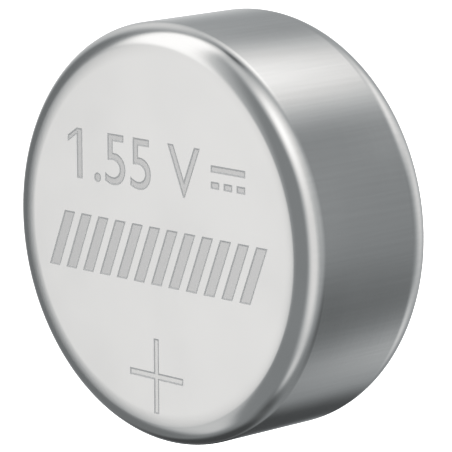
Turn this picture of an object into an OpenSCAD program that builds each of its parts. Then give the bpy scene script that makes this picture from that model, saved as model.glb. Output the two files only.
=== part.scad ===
// Silver oxide button cell of the standard 11.6 x 5.4 mm size.
// A steel can is rolled in over a nylon gasket, which grips the folded edge of
// the negative cap. Inside are a pressed cathode in its support ring, a barrier
// film, an absorber disc and the zinc anode that fills the cap.
// Millimetres. The origin is the centre of the negative face, on which the cell
// stands, and +Z points out of the positive face.

/* [Cell] */
// Outside diameter of the can
cell_d = 11.6; // [9:0.1:16]
// Height over the two faces
cell_h = 5.4; // [4.4:0.1:8]

/* [Positive can] */
// Thickness of the can's sheet
can_sheet = 0.25; // [0.2:0.01:0.3]
// Outside radius of the edge round the positive face
can_edge_r = 0.6; // [0.4:0.05:0.8]
// Outside radius of the rolled-in shoulder
crimp_r = 1.2; // [1:0.05:1.45]
// Angle that the shoulder is rolled through
crimp_turn = 75; // [60:1:86]
// Height of the negative face over the can's rolled edge
cap_stand = 0.3; // [0.2:0.01:0.45]

/* [Negative cap] */
// Thickness of the cap's clad sheet
cap_sheet = 0.2; // [0.15:0.01:0.24]
// Outside radius of the edge round the negative face
cap_edge_r = 0.4; // [0.3:0.05:0.5]
// Height of the shoulder over the negative face
neck_h = 0.9; // [0.75:0.01:1.1]
// Largest inside radius of the two bends at the shoulder
shoulder_bend_r = 0.12; // [0.05:0.01:0.2]
// Gap between the two layers of the folded edge
fold_gap = 0.05; // [0.02:0.01:0.1]
// Height of the folded layer's cut end over the start of the can's shoulder
fold_end_gap = 0.03; // [0:0.01:0.2]

/* [Gasket] */
// Thickness between the can's wall and the cap's folded edge
gasket_wall = 0.3; // [0.24:0.01:0.37]
// Thickness of the foot that the cap's folded edge presses on
gasket_foot = 0.35; // [0.31:0.01:0.6]
// Width of the lip between the can's rolled edge and the cap's neck
gasket_lip_w = 0.3; // [0.25:0.01:0.36]
// Radius of the lip's rounded end
gasket_lip_r = 0.3; // [0.22:0.01:0.6]
// Height of the lip's end over the can's rolled edge
gasket_lip_proud = 0.04; // [0:0.01:0.1]
// Thickness of the collar inside the cap's skirt
collar_wall = 0.3; // [0.2:0.01:0.5]
// Length of the collar from the foot
collar_h = 0.5; // [0.3:0.05:0.6]

/* [Inner pieces] */
// Thickness of the pressed cathode
cathode_h = 1.75; // [1.4:0.05:2.1]
// Thickness of the support ring's sheet
ring_sheet = 0.15; // [0.1:0.01:0.2]
// Width of the ring's flange over the cathode
ring_flange = 0.95; // [0.7:0.05:1.2]
// Height of the ring's wall round the cathode
ring_h = 0.95; // [0.6:0.05:1]
// Inside radius of the ring's bend
ring_bend_r = 0.08; // [0.03:0.01:0.15]
// Thickness of the barrier film
barrier_t = 0.1; // [0.05:0.01:0.2]
// Gap between the barrier film's edge and the can's wall
barrier_gap = 0.05; // [0.02:0.01:0.2]
// Thickness of the absorber disc
absorber_t = 0.3; // [0.2:0.01:0.31]

/* [Hidden] */
$fn = 96;

// The can: its radii, the centre that its shoulder is rolled about, and the
// direction of its cut edge from there
can_r = cell_d / 2;
bore_r = can_r - can_sheet;
bore_top_z = cell_h - can_sheet;
wall_top_z = cell_h - can_edge_r;
crimp_bore_r = crimp_r - can_sheet;
crimp_centre = [can_r - crimp_r, cap_stand + crimp_r * sin(crimp_turn)];
cut_edge = [cos(crimp_turn), -sin(crimp_turn)];

// The stack under the can's floor, from the cathode down to the cap's mouth
cathode_z = bore_top_z - cathode_h;
barrier_z = cathode_z - barrier_t;
absorber_z = barrier_z - absorber_t;
mouth_z = barrier_z - gasket_foot;

// The cap: its neck stands inside the lip, and its skirt inside the gasket's wall
neck_r = crimp_centre[0] + crimp_bore_r * cut_edge[0] - gasket_lip_w;
fold_r = bore_r - gasket_wall;
skirt_r = fold_r - cap_sheet - fold_gap;
skirt_bore_r = skirt_r - cap_sheet;
bend_r = min(shoulder_bend_r, (skirt_r - neck_r - cap_sheet) / 2);
fold_bend_r = cap_sheet + fold_gap / 2;
fold_bend_centre = [fold_r - fold_bend_r, mouth_z - fold_bend_r];
fold_end_z = crimp_centre[1] + fold_end_gap;

// The gasket: its collar, and the centre of its lip's rounded end
collar_bore_r = skirt_bore_r - collar_wall;
collar_end_z = mouth_z - collar_h;
lip_centre = [
    (neck_r + crimp_centre[0] + crimp_r * cut_edge[0]) / 2,
    cap_stand - gasket_lip_proud + gasket_lip_r
];

// Overlap that carries a cutting shape past the face that it cuts
past = 1;

// ---- Flat shapes: X is the radius and Y the height ----

// Rectangle between two radii and two heights
module band(r0, r1, z0, z1) {
    translate([r0, z0]) square([r1 - r0, z1 - z0]);
}

// Sector of the crimp's disc, from the start of the shoulder to the can's cut edge
module crimp_sector(r) {
    reach = 2 * r;
    translate(crimp_centre)
        intersection() {
            circle(r);
            polygon([[0, 0], [reach, 0], [reach, -reach], reach * cut_edge]);
        }
}

// Room inside the can's surface above the shoulder, taken in by a depth
module can_room(depth, bottom_z) {
    edge = [can_r - can_edge_r, wall_top_z];
    band(0, edge[0], bottom_z, cell_h - depth);
    band(0, can_r - depth, bottom_z, wall_top_z);
    intersection() {
        translate(edge) circle(can_edge_r - depth);
        band(0, cell_d, bottom_z, 2 * cell_h);
    }
}

// Room inside the cap's surface, from its face to its skirt, taken in by a depth
module cap_room(depth, top_z) {
    face_edge = [neck_r - cap_edge_r, cap_edge_r];
    waist = [neck_r + bend_r, neck_h - bend_r];
    shoulder = [skirt_r - cap_sheet - bend_r, neck_h + cap_sheet + bend_r];
    band(0, face_edge[0], depth, top_z);
    band(0, neck_r - depth, face_edge[1], top_z);
    translate(face_edge) circle(cap_edge_r - depth);
    difference() {
        band(0, waist[0], waist[1], top_z);
        translate(waist) circle(bend_r + depth);
    }
    band(0, shoulder[0], neck_h + depth, top_z);
    band(0, skirt_r - depth, shoulder[1], top_z);
    translate(shoulder) circle(bend_r + cap_sheet - depth);
}

// Outline of the cap's two layers of sheet where they are folded together
module fold_room() {
    band(skirt_bore_r, fold_r, fold_end_z, fold_bend_centre[1]);
    translate(fold_bend_centre) circle(fold_bend_r);
}

// Room inside the ring's surface, taken in by a depth
module ring_room(depth, top_z) {
    corner_r = ring_bend_r + ring_sheet;
    corner = [bore_r - corner_r, cathode_z + corner_r];
    band(0, corner[0], cathode_z + depth, top_z);
    band(0, bore_r - depth, corner[1], top_z);
    translate(corner) circle(corner_r - depth);
}

// Gasket's lip, between the cap's neck and the can's cut edge, to its rounded end
module lip() {
    low_corner = crimp_centre + (crimp_r + can_sheet) * cut_edge;
    intersection() {
        polygon([
            [neck_r, crimp_centre[1]],
            [neck_r, low_corner[1]],
            low_corner,
            crimp_centre + crimp_bore_r * cut_edge,
            [fold_r, crimp_centre[1]]
        ]);
        union() {
            translate(lip_centre) circle(gasket_lip_r);
            band(0, bore_r, lip_centre[1], crimp_centre[1]);
        }
    }
}

// ---- Pieces ----

// Deep-drawn nickel-plated can: the positive terminal, with its edge rolled in
module positive_can() {
    color("silver")
        rotate_extrude() {
            difference() {
                can_room(0, crimp_centre[1]);
                can_room(can_sheet, 0);
            }
            difference() {
                crimp_sector(crimp_r);
                translate(crimp_centre) circle(crimp_bore_r);
            }
        }
}

// Clad steel cap: the negative terminal, with a stepped shoulder and a folded edge
module negative_cap() {
    color("gainsboro")
        rotate_extrude() {
            difference() {
                cap_room(0, fold_bend_centre[1]);
                cap_room(cap_sheet, fold_bend_centre[1] + past);
            }
            difference() {
                fold_room();
                band(skirt_r, fold_r - cap_sheet, fold_end_z - past, fold_bend_centre[1]);
                translate(fold_bend_centre) circle(fold_gap / 2);
            }
        }
}

// Nylon gasket: lip, wall, foot and inner collar, squeezed to the shape of the cap
module sealing_gasket() {
    color("linen")
        rotate_extrude() {
            difference() {
                union() {
                    band(collar_bore_r, bore_r, crimp_centre[1], barrier_z);
                    crimp_sector(crimp_bore_r);
                    lip();
                }
                cap_room(0, fold_bend_centre[1]);
                fold_room();
            }
            band(collar_bore_r, skirt_bore_r, collar_end_z, barrier_z);
        }
}

// Pressed silver oxide pellet, rebated round its rim for the support ring
module cathode_pellet() {
    color("dimgray")
        rotate_extrude() {
            can_room(can_sheet, cathode_z + ring_h);
            ring_room(ring_sheet, wall_top_z);
            band(0, bore_r - ring_flange, cathode_z, wall_top_z);
        }
}

// Steel ring round the cathode's rim, which backs the gasket's foot
module support_ring() {
    color("lightsteelblue")
        rotate_extrude()
            difference() {
                ring_room(0, cathode_z + ring_h);
                ring_room(ring_sheet, cathode_z + ring_h + past);
                band(0, bore_r - ring_flange, cathode_z - past, cathode_z + ring_h + past);
            }
}

// Laminated membrane that keeps silver from the anode, held under the gasket's foot
module barrier_film() {
    color("wheat")
        translate([0, 0, barrier_z]) cylinder(r = bore_r - barrier_gap, h = barrier_t);
}

// Non-woven disc that holds the electrolyte, inside the gasket's foot
module absorber_disc() {
    color("whitesmoke")
        translate([0, 0, absorber_z]) cylinder(r = collar_bore_r, h = absorber_t);
}

// Gelled zinc powder that fills the cap up to the absorber
module zinc_anode() {
    color("slategray")
        rotate_extrude() {
            cap_room(cap_sheet, collar_end_z);
            band(0, collar_bore_r, neck_h + cap_sheet, absorber_z);
        }
}

positive_can();
negative_cap();
sealing_gasket();
cathode_pellet();
support_ring();
barrier_film();
absorber_disc();
zinc_anode();
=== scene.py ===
import math

import bmesh
import bpy
from mathutils import Euler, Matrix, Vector


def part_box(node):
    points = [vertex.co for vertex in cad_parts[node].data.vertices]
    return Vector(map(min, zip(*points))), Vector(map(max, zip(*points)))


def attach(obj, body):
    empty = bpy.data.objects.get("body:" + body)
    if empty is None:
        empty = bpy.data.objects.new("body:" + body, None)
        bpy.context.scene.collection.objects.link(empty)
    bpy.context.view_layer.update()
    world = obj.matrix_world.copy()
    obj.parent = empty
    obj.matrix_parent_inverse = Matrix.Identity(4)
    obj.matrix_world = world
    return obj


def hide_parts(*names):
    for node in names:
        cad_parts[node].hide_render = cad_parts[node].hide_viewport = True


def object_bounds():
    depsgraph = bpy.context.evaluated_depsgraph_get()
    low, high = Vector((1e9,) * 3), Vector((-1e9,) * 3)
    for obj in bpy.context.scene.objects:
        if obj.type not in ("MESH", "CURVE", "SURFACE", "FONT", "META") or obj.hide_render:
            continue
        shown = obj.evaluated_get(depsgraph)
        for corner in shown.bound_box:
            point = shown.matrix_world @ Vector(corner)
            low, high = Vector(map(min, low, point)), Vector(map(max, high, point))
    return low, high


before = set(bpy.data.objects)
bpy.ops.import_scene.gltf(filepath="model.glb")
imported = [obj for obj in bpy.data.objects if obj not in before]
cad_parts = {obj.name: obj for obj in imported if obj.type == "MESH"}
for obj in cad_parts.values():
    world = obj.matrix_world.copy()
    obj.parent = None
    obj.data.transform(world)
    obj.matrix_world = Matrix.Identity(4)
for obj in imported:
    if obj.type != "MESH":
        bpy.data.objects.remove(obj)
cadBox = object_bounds()
mm = 0.001
canLow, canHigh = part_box("positive_can")
print("frame loaded:", ", ".join(sorted(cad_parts)))


# what a hand does with the mouse: selecting, editing, applying

def deselectAll():
    if bpy.context.object and bpy.context.object.mode != "OBJECT":
        bpy.ops.object.mode_set(mode="OBJECT")
    bpy.ops.object.select_all(action="DESELECT")


def makeActive(obj):
    deselectAll()
    obj.select_set(True)
    bpy.context.view_layer.objects.active = obj


def startEdit(obj):
    makeActive(obj)
    bpy.ops.object.mode_set(mode="EDIT")
    bpy.ops.mesh.select_all(action="DESELECT")


def endEdit():
    bpy.ops.object.mode_set(mode="OBJECT")


# selects the faces whose middle and normal pass the test
def pickFaces(test):
    bpy.ops.mesh.select_mode(type="FACE")
    bpy.ops.mesh.select_all(action="DESELECT")
    mesh = bpy.context.object.data
    for face in bmesh.from_edit_mesh(mesh).faces:
        face.select_set(test(face.calc_center_median(), face.normal))
    bmesh.update_edit_mesh(mesh)


# selects the edges whose two ends pass the test
def pickEdges(test):
    bpy.ops.mesh.select_mode(type="EDGE")
    bpy.ops.mesh.select_all(action="DESELECT")
    mesh = bpy.context.object.data
    for edge in bmesh.from_edit_mesh(mesh).edges:
        edge.select_set(all(test(v.co) for v in edge.verts))
    bmesh.update_edit_mesh(mesh)


def facesUp(middle, normal):
    return normal.z > 0.9


def facesDown(middle, normal):
    return normal.z < -0.9


def onRing(radius, z, reach=0.002 * mm):
    return lambda p: abs(math.hypot(p.x, p.y) - radius) < reach and abs(p.z - z) < reach


def applyPlace(obj):
    makeActive(obj)
    bpy.ops.object.transform_apply(location=True, rotation=True, scale=True)


def applyModifier(obj, kind, **settings):
    makeActive(obj)
    modifier = obj.modifiers.new(kind.title(), kind)
    for name, value in settings.items():
        setattr(modifier, name, value)
    bpy.ops.object.modifier_apply(modifier=modifier.name)


# material helpers, from a node whose inputs are set or linked by name

def addNode(tree, kind, settings=None, **inputs):
    node = tree.nodes.new(kind)
    for name, value in (settings or {}).items():
        setattr(node, name, value)
    for name, value in inputs.items():
        socket = node.inputs[name.replace("_", " ")]
        if isinstance(value, bpy.types.NodeSocket):
            tree.links.new(value, socket)
        else:
            socket.default_value = value
    return node


def newMaterial(name, **fixed):
    material = bpy.data.materials.new(name)
    material.use_nodes = True
    shader = material.node_tree.nodes["Principled BSDF"]
    for key, value in fixed.items():
        shader.inputs[key.replace("_", " ")].default_value = value
    return material, material.node_tree, shader


# noise on the object's own coordinates; stretch makes it finer along one axis than another
def addNoise(tree, size, detail=3.0, stretch=(1, 1, 1)):
    place = addNode(tree, "ShaderNodeTexCoord").outputs["Object"]
    shift = (0.37 * size,) * 3     # keeps the cells' borders off the flat faces
    scaled = addNode(tree, "ShaderNodeMapping", Vector=place, Location=shift, Scale=stretch)
    noise = addNode(tree, "ShaderNodeTexNoise", Vector=scaled.outputs[0], Scale=1 / size, Detail=detail)
    return noise.outputs["Fac"]


# cells on the object's own coordinates: distance from each cell's middle, and one shade for each cell
def addCells(tree, size):
    place = addNode(tree, "ShaderNodeTexCoord").outputs["Object"]
    cells = addNode(tree, "ShaderNodeTexVoronoi", Vector=place, Scale=1 / size)
    return cells.outputs["Distance"], cells.outputs["Color"]


# start and end are what noise mostly keeps between
def addRange(tree, value, low, high, start=0.3, end=0.7):
    mapped = addNode(
        tree, "ShaderNodeMapRange", Value=value, From_Min=start, From_Max=end, To_Min=low, To_Max=high)
    return mapped.outputs[0]


def addBlend(tree, factor, first, second, start=0.3, end=0.7):
    ramp = addNode(tree, "ShaderNodeValToRGB", Fac=factor)
    for element, place, tone in zip(ramp.color_ramp.elements, (start, end), (first, second)):
        element.position = place
        element.color = (*tone, 1)
    return ramp.outputs["Color"]


def addBump(tree, shader, *layers):
    normal = None
    for height, distance in layers:
        bump = addNode(tree, "ShaderNodeBump", Height=height, Distance=distance)
        if normal:
            tree.links.new(normal, bump.inputs["Normal"])
        normal = bump.outputs["Normal"]
    tree.links.new(normal, shader.inputs["Normal"])


cameraView = {
    "turn": (-11.35, 45.45, -0.35),  # degrees about X, Y and Z
    "distance": 107.0 * mm,
    "lens": 310.5,
    "pan": (0.09 * mm, -0.05 * mm),
}


def addCamera():
    turn = Euler([math.radians(a) for a in cameraView["turn"]])
    canMiddle = (canLow + canHigh) / 2
    offset = Vector((*cameraView["pan"], cameraView["distance"]))
    bpy.ops.object.camera_add(location=canMiddle + turn.to_matrix() @ offset, rotation=turn)
    camera = bpy.context.object
    camera.data.lens = cameraView["lens"]
    camera.data.clip_start = 10 * mm
    camera.data.clip_end = 2000 * mm
    bpy.context.scene.camera = camera


addCamera()
print("camera set")


# the can is a drawn cup with its mouth rolled in
canShape = {
    "steps": 256,              # round the can
    "sheet": 0.25 * mm,
    "faceR": 5.03 * mm,        # where the face starts to fall away
    "faceFall": 4.5,           # degrees that it then falls by
    "faceBlend": 0.17 * mm,
    "faceRounds": 10,          # facets across this rounding; the others have their own
    "edgeR": 0.64 * mm,        # of the rounding between face and wall
    "edgeRounds": 24,
    "crimpR": 1.2 * mm,
    "crimpTurn": 75.0,         # degrees
    "crimpRounds": 32,
    "cutRound": 0.05 * mm,     # worn corner of the cut edge
    "cutRounds": 14,
    "weld": 0.004 * mm,        # corners nearer than this become one
}


def makeCan():
    outerR = canHigh.x
    turn = math.radians(canShape["crimpTurn"])
    crimpLength = canShape["crimpR"] * math.tan(turn / 2)
    cutR = outerR - canShape["crimpR"] * (1 - math.cos(turn))
    cornerZ = canLow.z + crimpLength * math.cos(turn)
    fall = (outerR - canShape["faceR"]) * math.tan(math.radians(canShape["faceFall"]))
    rimZ = canHigh.z - fall
    edgeBlend = canShape["edgeR"] * math.tan(math.radians(45 - canShape["faceFall"] / 2))

    deselectAll()
    bpy.ops.mesh.primitive_cylinder_add(
        vertices=canShape["steps"], radius=outerR, depth=rimZ - cornerZ,
        location=(0, 0, (rimZ + cornerZ) / 2))
    can = bpy.context.object
    can.name = "can_shell"
    applyPlace(can)

    startEdit(can)
    pickFaces(facesUp)
    bpy.ops.mesh.inset(thickness=outerR - canShape["faceR"])
    bpy.ops.transform.translate(value=(0, 0, fall))
    pickFaces(facesDown)
    bpy.ops.mesh.delete(type="ONLY_FACE")
    pickEdges(onRing(outerR, cornerZ))
    bpy.ops.mesh.extrude_region_move(TRANSFORM_OT_translate={"value": (0, 0, canLow.z - cornerZ)})
    bpy.ops.transform.resize(value=(cutR / outerR, cutR / outerR, 1))

    # each sharp ring rounded to its own radius
    for radius, z, blend, rounds in (
        (canShape["faceR"], canHigh.z, canShape["faceBlend"], canShape["faceRounds"]),
        (outerR, rimZ, edgeBlend, canShape["edgeRounds"]),
        (outerR, cornerZ, crimpLength, canShape["crimpRounds"]),
    ):
        pickEdges(onRing(radius, z))
        bpy.ops.mesh.bevel(offset=blend, segments=rounds, affect="EDGES", clamp_overlap=False)
    bpy.ops.mesh.select_all(action="SELECT")
    bpy.ops.mesh.remove_doubles(threshold=canShape["weld"])
    bpy.ops.mesh.normals_make_consistent(inside=False)
    endEdit()
    applyModifier(can, "SOLIDIFY", thickness=canShape["sheet"], offset=-1, use_even_offset=True)

    startEdit(can)
    pickEdges(onRing(cutR, canLow.z))
    bpy.ops.mesh.bevel(offset=canShape["cutRound"], segments=canShape["cutRounds"], affect="EDGES")
    endEdit()
    return can


can = makeCan()
print("can made:", len(can.data.polygons), "faces")


# marks sunk in the positive face
markShape = {
    "depth": 0.009 * mm,
    "slope": 0.05 * mm,         # width of the sloping wall
    "proud": 0.03 * mm,         # how far a cutter starts above the face
    "line": 0.2 * mm,           # width of a thin stroke
    "plusY": -3.86 * mm,
    "plusArm": 1.05 * mm,
    "rating": "1.55 V",
    "ratingAt": (-3.5 * mm, 1.25 * mm),
    "ratingHeight": 1.42 * mm,
    "ratingBolder": 0.008,
    "ratingWeld": 0.002 * mm,
    "flag": (-0.36 * mm, -0.24 * mm),   # stroke that leads into the figure 1
    "flagWidth": 0.22 * mm,
    "currentAt": (2.15 * mm, 2.05 * mm),
    "currentLength": 1.3 * mm,
    "dashDrop": 2.2,            # strokes from the long line down to the short ones
    "barCount": 12,
    "barWidth": 0.42 * mm,
    "barPitch": 0.68 * mm,
    "barHeight": 1.6 * mm,
    "barBase": -1.33 * mm,
    "barSlant": 22.0,           # degrees
    "sharpFrom": 7,             # degrees between faces, from which an edge stays sharp
}
markTop = canHigh.z + markShape["proud"]


# a flat outline over the face becomes a cutter: straight for a tenth of its depth, then a sloping wall
def sinkOutline(outline, floor="mark_floor"):
    startEdit(outline)
    bpy.ops.mesh.select_all(action="SELECT")
    straight = markShape["proud"] + 0.1 * markShape["depth"]
    bpy.ops.mesh.extrude_region_move(TRANSFORM_OT_translate={"value": (0, 0, -straight)})
    bpy.ops.mesh.select_all(action="SELECT")
    bpy.ops.mesh.normals_make_consistent(inside=False)
    pickFaces(facesDown)
    bpy.ops.mesh.inset(thickness=markShape["slope"], depth=markShape["depth"] * 0.9)
    endEdit()
    for name in ("mark_wall", floor):
        outline.data.materials.append(materials[name])
    for face in outline.data.polygons:
        face.material_index = 1 if face.normal.z < -0.999 else 0


def makePlus():
    line = markShape["line"]
    deselectAll()
    bpy.ops.mesh.primitive_plane_add(size=line, location=(0, markShape["plusY"], markTop))
    plus = bpy.context.object
    applyPlace(plus)
    startEdit(plus)
    for side in (Vector((1, 0, 0)), Vector((-1, 0, 0)), Vector((0, 1, 0)), Vector((0, -1, 0))):
        # the edge of the first square that faces this way
        middle = Vector((0, markShape["plusY"], markTop)) + side * line / 2
        pickEdges(
            lambda p: abs((p - middle).dot(side)) < 0.1 * line and (p - middle).length < 0.6 * line)
        bpy.ops.mesh.extrude_region_move(
            TRANSFORM_OT_translate={"value": side * (markShape["plusArm"] - line / 2)})
    endEdit()
    sinkOutline(plus, floor="plus_floor")
    return plus


# a flat bar from its lower left corner; a slant leans it to the right
def makeBar(x, y, width, height, slant=0.0):
    deselectAll()
    bpy.ops.mesh.primitive_plane_add(size=1, location=(x + width / 2, y + height / 2, markTop))
    bar = bpy.context.object
    bar.scale = (width, height, 1)
    applyPlace(bar)
    startEdit(bar)
    pickEdges(lambda p: p.y > y + height / 2)
    bpy.ops.transform.translate(value=(height * math.tan(math.radians(slant)), 0, 0))
    endEdit()
    sinkOutline(bar)
    return bar


def repeatAlong(first, count, pitch):
    row = [first]
    for k in range(1, count):
        copy = first.copy()
        copy.data = first.data.copy()
        copy.location.x = k * pitch
        bpy.context.collection.objects.link(copy)
        applyPlace(copy)
        row.append(copy)
    return row


def makeBars():
    count, pitch, width = (markShape[key] for key in ("barCount", "barPitch", "barWidth"))
    lean = markShape["barHeight"] * math.tan(math.radians(markShape["barSlant"]))
    start = -((count - 1) * pitch + width + lean) / 2
    first = makeBar(start, markShape["barBase"], width, markShape["barHeight"], markShape["barSlant"])
    return repeatAlong(first, count, pitch)


# the sign for direct current: a long line over three short ones
def makeCurrentSign():
    x, y = markShape["currentAt"]
    length, line = markShape["currentLength"], markShape["line"]
    dash = length / 4
    pitch = (length - dash) / 2
    short = makeBar(x, y - markShape["dashDrop"] * line, dash, line)
    return [makeBar(x, y, length, line), *repeatAlong(short, 3, pitch)]


def makeRating():
    deselectAll()
    bpy.ops.object.text_add()
    rating = bpy.context.object
    rating.data.body = markShape["rating"]
    rating.data.fill_mode = "FRONT"
    rating.data.resolution_u = 6
    rating.data.offset = markShape["ratingBolder"]
    bpy.ops.object.convert(target="MESH")
    rating.scale = [markShape["ratingHeight"] / rating.dimensions.y] * 3
    rating.location = (*markShape["ratingAt"], markTop)
    applyPlace(rating)
    startEdit(rating)
    bpy.ops.mesh.select_all(action="SELECT")
    bpy.ops.mesh.remove_doubles(threshold=markShape["ratingWeld"])
    bpy.ops.mesh.dissolve_limited(angle_limit=math.radians(1))
    # the figure 1 gets a flag from the upper part of its left edge
    left = min(v.co.x for v in bmesh.from_edit_mesh(rating.data).verts)
    root = markShape["ratingAt"][1] + markShape["ratingHeight"] - markShape["flagWidth"]
    near = 0.01 * mm
    pickFaces(lambda p, n: p.x < left + markShape["line"])
    bpy.ops.mesh.bisect(plane_co=(0, root, 0), plane_no=(0, 1, 0))
    pickEdges(lambda p: p.x < left + near and p.y > root - near)
    bpy.ops.mesh.extrude_region_move(TRANSFORM_OT_translate={"value": (*markShape["flag"], 0)})
    endEdit()
    sinkOutline(rating)
    return rating


def cutMarks():
    cutters = [makePlus(), makeRating(), *makeCurrentSign(), *makeBars()]
    deselectAll()
    for cutter in cutters:
        cutter.select_set(True)
    bpy.context.view_layer.objects.active = cutters[0]
    bpy.ops.object.join()
    cutter = bpy.context.object
    can.data.materials.append(materials["can_nickel"])
    applyModifier(
        can, "BOOLEAN", object=cutter, operation="DIFFERENCE", solver="EXACT", material_mode="TRANSFER")
    bpy.data.objects.remove(cutter)
    makeActive(can)
    bpy.ops.object.shade_smooth_by_angle(angle=math.radians(markShape["sharpFrom"]))
    applyModifier(can, "WEIGHTED_NORMAL", keep_sharp=True, weight=100)


materials = {}


# soft patches, a fine grain, faint lines round the wall and fainter streaks up it from the draw,
# which end before the face
plating = {
    "patch": 2.4 * mm,
    "grain": 0.07 * mm,
    "line": 1.0 * mm,
    "lineStretch": (0.4, 0.4, 22),
    "streak": 0.11 * mm,
    "streakStretch": (1, 1, 0.03),
    "streakStart": 0.15 * mm,    # below the face
    "streakFull": 0.6 * mm,
    "patchTone": 0.965,          # of the metal's own tone
}


# bright plating over drawn steel; grain and lines are the depths of its bumps
def nickelPlate(name, tone, rough, grain, lines):
    material, tree, shader = newMaterial(name, Metallic=1.0)
    patches = addNoise(tree, plating["patch"], detail=4.0)
    fine = addNoise(tree, plating["grain"], detail=2.0)
    drawn = addNoise(tree, plating["line"], stretch=plating["lineStretch"])
    streaks = addNoise(tree, plating["streak"], detail=2.0, stretch=plating["streakStretch"])
    place = addNode(tree, "ShaderNodeTexCoord").outputs["Object"]
    height = addNode(tree, "ShaderNodeSeparateXYZ", Vector=place).outputs["Z"]
    start, full = (canHigh.z - plating[key] for key in ("streakStart", "streakFull"))
    onWall = addRange(tree, height, 0, 0.5, start=start, end=full)
    shade = addNode(tree, "ShaderNodeMath", {"operation": "MULTIPLY_ADD"})
    centred = addRange(tree, streaks, -0.5, 0.5)
    tree.links.new(centred, shade.inputs[0])
    tree.links.new(onWall, shade.inputs[1])
    tree.links.new(patches, shade.inputs[2])
    darker = tuple(c * plating["patchTone"] for c in tone)
    tree.links.new(addBlend(tree, shade.outputs[0], darker, tone), shader.inputs["Base Color"])
    dull = addNode(tree, "ShaderNodeMath", {"operation": "ADD"})
    tree.links.new(addRange(tree, drawn, 0, 0.03), dull.inputs[0])
    tree.links.new(addRange(tree, patches, rough - 0.02, rough + 0.03), dull.inputs[1])
    tree.links.new(dull.outputs[0], shader.inputs["Roughness"])
    addBump(tree, shader, (fine, grain), (drawn, lines))
    materials[name] = material


# metal at the bottom and on the walls of a struck mark
def sunkMetal(name, light, dark, rough):
    material, tree, shader = newMaterial(name, Metallic=1.0)
    pits = addNoise(tree, 0.03 * mm)
    tree.links.new(addBlend(tree, pits, dark, light), shader.inputs["Base Color"])
    tree.links.new(addRange(tree, pits, rough - 0.03, rough + 0.04), shader.inputs["Roughness"])
    addBump(tree, shader, (pits, 0.001 * mm))
    materials[name] = material


# cream plastic with a soft cloud of tone and a fine skin from the mould
def mouldedNylon(name, tone, shade):
    material, tree, shader = newMaterial(name, Subsurface_Weight=0.15, Subsurface_Scale=0.2 * mm)
    cloud = addNoise(tree, 0.9 * mm)
    skin = addNoise(tree, 0.04 * mm, detail=2.0)
    tree.links.new(addBlend(tree, cloud, shade, tone), shader.inputs["Base Color"])
    tree.links.new(addRange(tree, skin, 0.36, 0.5), shader.inputs["Roughness"])
    addBump(tree, shader, (cloud, 0.004 * mm), (skin, 0.0015 * mm))
    materials[name] = material


# pressed or gelled powder: each grain has its own shade and stands a little proud
def grainMix(name, dark, light, grain, rough, **fixed):
    material, tree, shader = newMaterial(name, **fixed)
    reach, shade = addCells(tree, grain)
    cloud = addNoise(tree, 12 * grain)
    mix = addNode(tree, "ShaderNodeMath", {"operation": "MULTIPLY"}, Value=shade)
    tree.links.new(addRange(tree, cloud, 0.6, 1.0), mix.inputs[1])
    tones = addBlend(tree, mix.outputs[0], dark, light, start=0.1, end=0.9)
    tree.links.new(tones, shader.inputs["Base Color"])
    dull = addRange(tree, shade, rough, rough + 0.2, start=0, end=1)
    tree.links.new(dull, shader.inputs["Roughness"])
    domes = addRange(tree, reach, 1, 0, start=0, end=0.8)
    addBump(tree, shader, (domes, 0.25 * grain), (cloud, grain))
    materials[name] = material


# thin film, clear amber over white, a little wrinkled
def laminateFilm(name, tone, shade):
    material, tree, shader = newMaterial(name, Coat_Weight=0.4, Coat_Roughness=0.12)
    cloud = addNoise(tree, 1.6 * mm, detail=4.0)
    wrinkle = addNoise(tree, 0.5 * mm, stretch=(1, 3, 1))
    tree.links.new(addBlend(tree, cloud, shade, tone), shader.inputs["Base Color"])
    tree.links.new(addRange(tree, wrinkle, 0.22, 0.34), shader.inputs["Roughness"])
    addBump(tree, shader, (wrinkle, 0.02 * mm), (cloud, 0.03 * mm))
    materials[name] = material


# matted fibres: three lays of long thin noise, each across the others
def fibreFelt(name, tone, shade):
    material, tree, shader = newMaterial(name, Sheen_Weight=0.3)
    lays = [addNoise(tree, 0.5 * mm, stretch=lay) for lay in ((1, 14, 4), (14, 1, 4), (9, 9, 1))]
    heap = addNode(tree, "ShaderNodeMath", {"operation": "MAXIMUM"}, Value=lays[0])
    tree.links.new(lays[1], heap.inputs[1])
    tones = addBlend(tree, heap.outputs[0], shade, tone, start=0.4, end=0.7)
    tree.links.new(tones, shader.inputs["Base Color"])
    tree.links.new(addRange(tree, lays[2], 0.88, 1.0), shader.inputs["Roughness"])
    addBump(tree, shader, (heap.outputs[0], 0.05 * mm), (lays[2], 0.02 * mm))
    materials[name] = material


nickelPlate("can_nickel", tone=(0.81, 0.805, 0.795), rough=0.12, grain=0.0004 * mm, lines=0.0005 * mm)
sunkMetal("plus_floor", light=(0.79, 0.785, 0.775), dark=(0.75, 0.745, 0.735), rough=0.16)
sunkMetal("mark_floor", light=(0.71, 0.705, 0.7), dark=(0.67, 0.665, 0.66), rough=0.2)
sunkMetal("mark_wall", light=(0.94, 0.935, 0.93), dark=(0.9, 0.895, 0.89), rough=0.62)
nickelPlate("cap_nickel", tone=(0.76, 0.75, 0.735), rough=0.22, grain=0.0008 * mm, lines=0.001 * mm)
nickelPlate("ring_nickel", tone=(0.7, 0.695, 0.685), rough=0.3, grain=0.001 * mm, lines=0.0015 * mm)
mouldedNylon("gasket_nylon", tone=(0.82, 0.8, 0.74), shade=(0.76, 0.735, 0.665))
grainMix("cathode_mix", dark=(0.02, 0.02, 0.022), light=(0.11, 0.105, 0.1), grain=0.04 * mm, rough=0.6)
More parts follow.
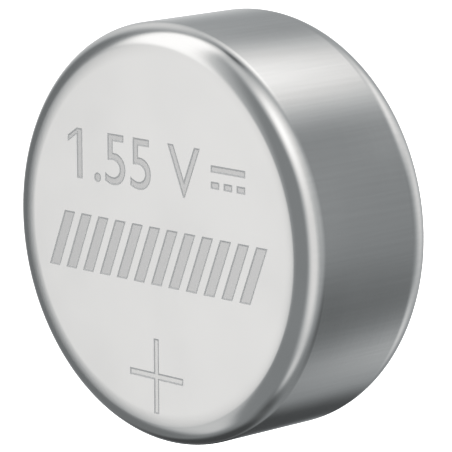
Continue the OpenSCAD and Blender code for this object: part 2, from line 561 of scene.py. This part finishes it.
grainMix(
    "anode_gel", dark=(0.2, 0.21, 0.22), light=(0.55, 0.56, 0.57), grain=0.12 * mm, rough=0.25,
    Metallic=0.6, Coat_Weight=0.5)
laminateFilm("barrier_laminate", tone=(0.84, 0.76, 0.56), shade=(0.78, 0.68, 0.46))
fibreFelt("absorber_felt", tone=(0.87, 0.87, 0.84), shade=(0.68, 0.68, 0.65))

cutMarks()
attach(can, "root")
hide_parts("positive_can")
print("marks cut:", len(can.data.polygons), "faces")

innerFinishes = {
    "negative_cap": "cap_nickel",
    "sealing_gasket": "gasket_nylon",
    "cathode_pellet": "cathode_mix",
    "support_ring": "ring_nickel",
    "barrier_film": "barrier_laminate",
    "absorber_disc": "absorber_felt",
    "zinc_anode": "anode_gel",
}
for node, finish in innerFinishes.items():
    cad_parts[node].material_slots[0].material = materials[finish]
print("finished inside:", len(innerFinishes), "pieces")


studio = {
    "floorSize": 3000 * mm,
    "floorTone": 0.9,
    "floorGlow": 0.95,         # light of the floor itself, which fades the shadow
    "sun": 3.0,
    "sunTurn": (20, 15, 0),    # degrees about X, Y and Z
    "sunAngle": 70,            # width of the sun in degrees
    "surround": 0.2,           # tone where no card hangs
    "backdrop": 0.9,           # tone of the world that the camera sees past the floor
    "shadeTint": (0.945, 1.0, 1.03),
    "tintFade": (0.2, 0.65),   # tones between which that tint fades out
    "power": 1.27,
}


def addFloor():
    deselectAll()
    bpy.ops.mesh.primitive_plane_add(size=studio["floorSize"], location=(0, 0, cadBox[0].z))
    floor = bpy.context.object
    floor.name = "floor"
    floor.visible_glossy = False
    floor.visible_shadow = False
    material, tree, shader = newMaterial(
        "floor_paper", Roughness=0.8, Emission_Strength=studio["floorGlow"])
    tone = studio["floorTone"]
    speck = addNoise(tree, 40 * mm)
    tree.links.new(addBlend(tree, speck, (tone * 0.995,) * 3, (tone,) * 3), shader.inputs["Base Color"])
    floor.data.materials.append(material)


def addSun():
    bpy.ops.object.light_add(type="SUN", rotation=[math.radians(a) for a in studio["sunTurn"]])
    sun = bpy.context.object
    sun.data.energy = studio["sun"]
    sun.data.angle = math.radians(studio["sunAngle"])
    sun.visible_glossy = False


# soft cards round the cell: longitude (from +X towards +Y), latitude, half width, half height and turn
# about their own middle, all in degrees, then share of soft edge and brightness; each covers those
# before it
cards = {
    "floorUnder": (0, -90, 38, 38, 0, 1.0, 0.6),
    "frontLow": (22, -14, 90, 40, 0, 1.0, 0.4),
    "frontBox": (0, 22, 110, 34, 0, 0.8, 0.66),
    "frontLeft": (-62, 13, 22, 15, 0, 1.0, 0.55),
    "frontMid": (54, 0, 46, 30, 0, 1.0, 0.63),
    "hotLamp": (56, 23, 42, 31, 0, 1.0, 1.03),
    "rightBox": (92, 14, 22, 20, 0, 1.0, 0.5),
    "sideLow": (142, -18, 42, 36, 0, 0.9, 0.58),
    "backLow": (-172, -32, 32, 28, 0, 1.0, 0.75),
    "backFloor": (-178, -58, 35, 18, 0, 1.0, 0.35),
    "archGlow": (135, 38, 60, 32, 40, 1.0, 0.55),
    "archWhite": (136, 31, 54, 17, 40, 0.5, 1.0),
    "archGrey": (-132, 34, 30, 12, -35, 0.6, 0.52),
    "faceCard": (-165, 45, 14, 13, 0, 0.7, 0.76),
    "backFlag": (-165, 15, 45, 25, 0, 0.4, 0.15),
    "sideFlag": (-118, -12, 38, 24, 15, 0.6, 0.05),
    "leftFlag": (-87, 2, 16, 28, 0, 1.0, 0.08),
    "rimSpot": (97, -8, 10, 10, 0, 0.8, 0.08),
    "lowLamp": (93, -36, 35, 26, 0, 1.0, 1.0),
    "lowGlow": (85, -65, 36, 21, 0, 1.0, 0.75),
    "lowGrey": (-83, -56, 24, 18, 0, 1.0, 0.55),
    "lowShade": (-45, -35, 32, 24, 0, 1.0, 0.1),
    "lowBlack": (-131, -39, 25, 13, 0, 0.6, 0.05),
}


def addSurround():
    world = bpy.data.worlds.new("studio")
    bpy.context.scene.world = world
    world.use_nodes = True
    tree = world.node_tree
    direction = addNode(tree, "ShaderNodeTexCoord").outputs["Generated"]
    tone = studio["surround"]
    for longitude, latitude, width, height, turn, soft, brightness in cards.values():
        lon, lat = math.radians(longitude), math.radians(latitude)
        mapping = addNode(
            tree, "ShaderNodeMapping", {"vector_type": "TEXTURE"}, Vector=direction,
            Location=(math.cos(lat) * math.cos(lon), math.cos(lat) * math.sin(lon), math.sin(lat)),
            Rotation=(math.radians(turn), -lat, lon),
            Scale=(1, math.radians(width), math.radians(height)))
        ball = addNode(
            tree, "ShaderNodeTexGradient", {"gradient_type": "SPHERICAL"}, Vector=mapping.outputs[0])
        mask = addNode(
            tree, "ShaderNodeMapRange", {"interpolation_type": "SMOOTHSTEP"},
            Value=ball.outputs["Fac"], From_Max=soft)
        mix = addNode(
            tree, "ShaderNodeMix", {"data_type": "FLOAT"}, Factor=mask.outputs[0], A=tone, B=brightness)
        tone = mix.outputs[0]
    tint = addBlend(tree, tone, studio["shadeTint"], (1, 1, 1), *studio["tintFade"])
    tinted = addNode(tree, "ShaderNodeVectorMath", {"operation": "SCALE"}, Vector=tint, Scale=tone)
    seen = addNode(tree, "ShaderNodeLightPath").outputs["Is Camera Ray"]
    # a vector mix has A and B at 4 and 5, and its result at 1
    backdrop = addNode(tree, "ShaderNodeMix", {"data_type": "VECTOR"}, Factor=seen)
    tree.links.new(tinted.outputs[0], backdrop.inputs[4])
    backdrop.inputs[5].default_value = (studio["backdrop"],) * 3
    tree.links.new(backdrop.outputs[1], tree.nodes["Background"].inputs["Color"])
    tree.nodes["Background"].inputs["Strength"].default_value = studio["power"]


addFloor()
addSun()
addSurround()
print("floor and light set:", len(cards), "cards")
bpy.context.scene.view_settings.view_transform = "Standard"
